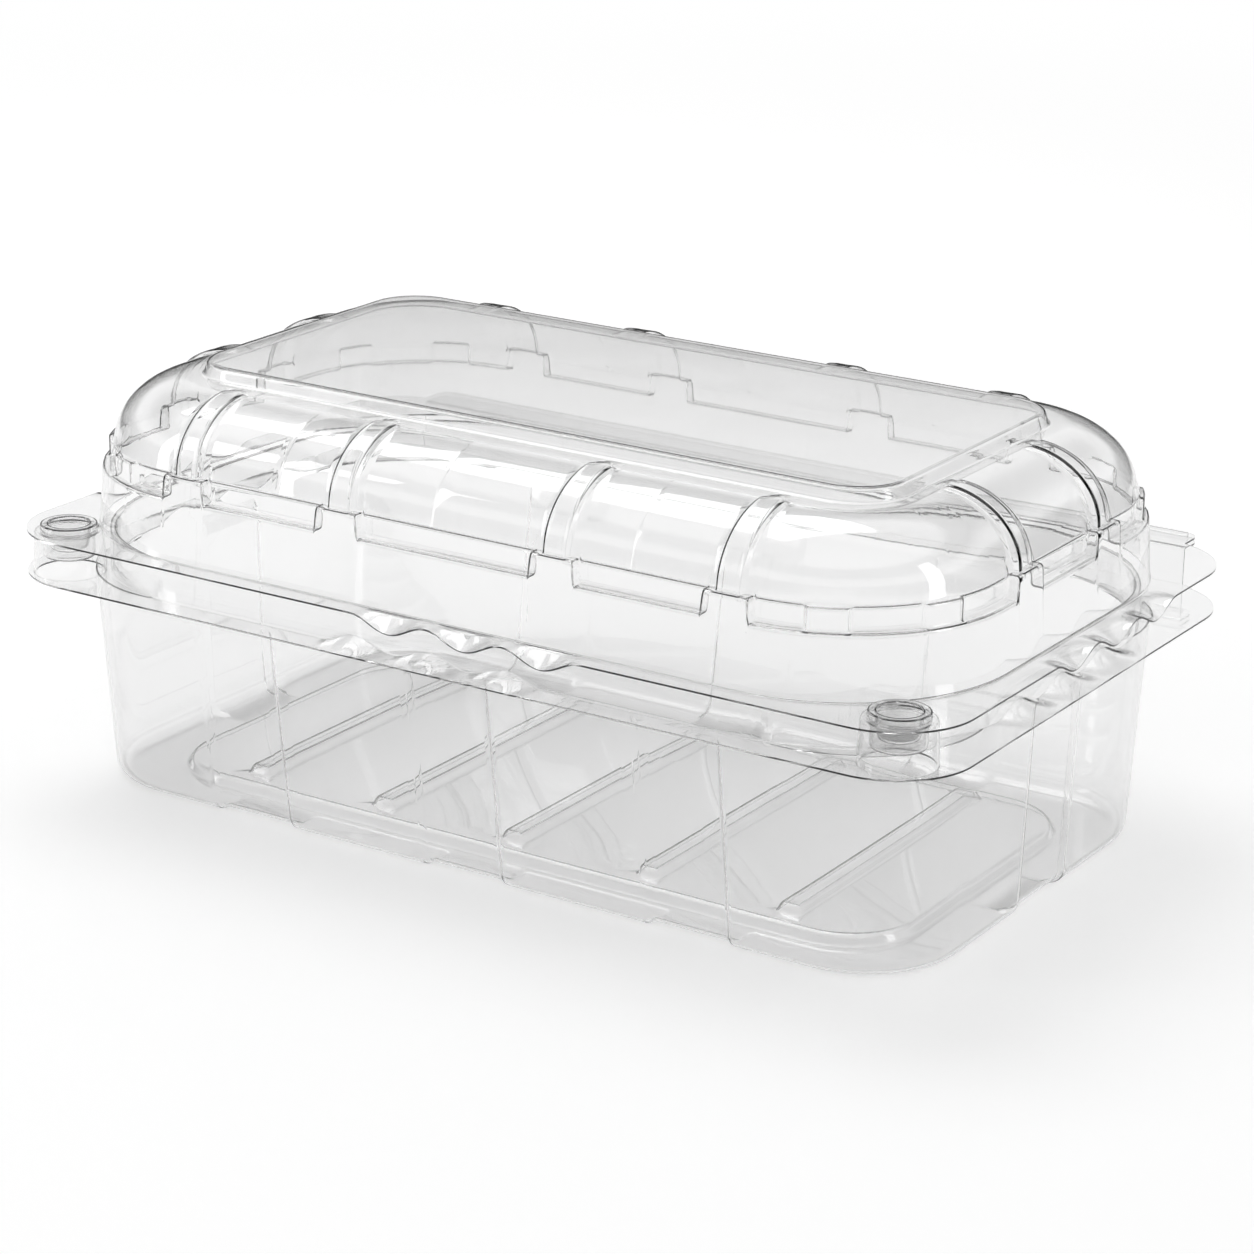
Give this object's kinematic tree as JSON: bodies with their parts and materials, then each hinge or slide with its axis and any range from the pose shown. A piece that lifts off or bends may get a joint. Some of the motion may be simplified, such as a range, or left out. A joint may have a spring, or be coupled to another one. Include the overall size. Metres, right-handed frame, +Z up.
{
  "type": "clear plastic clamshell pack",
  "caption": "Hinged clear plastic food pack: ribbed drafted tray and domed lid with snap buttons, vents and a folded hinge along the back.",
  "frame": {"origin": "under the middle of the whole pack, hinge included, on the surface that it stands on", "axes": "+X along the long side to the right, +Y towards the hinge at the back, +Z up"},
  "size_m": [0.23, 0.1502, 0.0945],
  "materials": {
    "clear_sheet": "clear, glossy, thermoformed PET"
  },
  "bodies": {
    "base": {"base_tray": "clear_sheet", "living_hinge": "clear_sheet"},
    "lid": {"lid": "clear_sheet"}
  },
  "joints": [
    {"name": "lid_hinge", "type": "hinge", "parent": "base", "child": "lid", "pos_m": [0, 0.07429, 0.05808], "axis": [-1, 0, 0], "range_deg": [0, 180], "deforming": ["living_hinge"]}
  ]
}
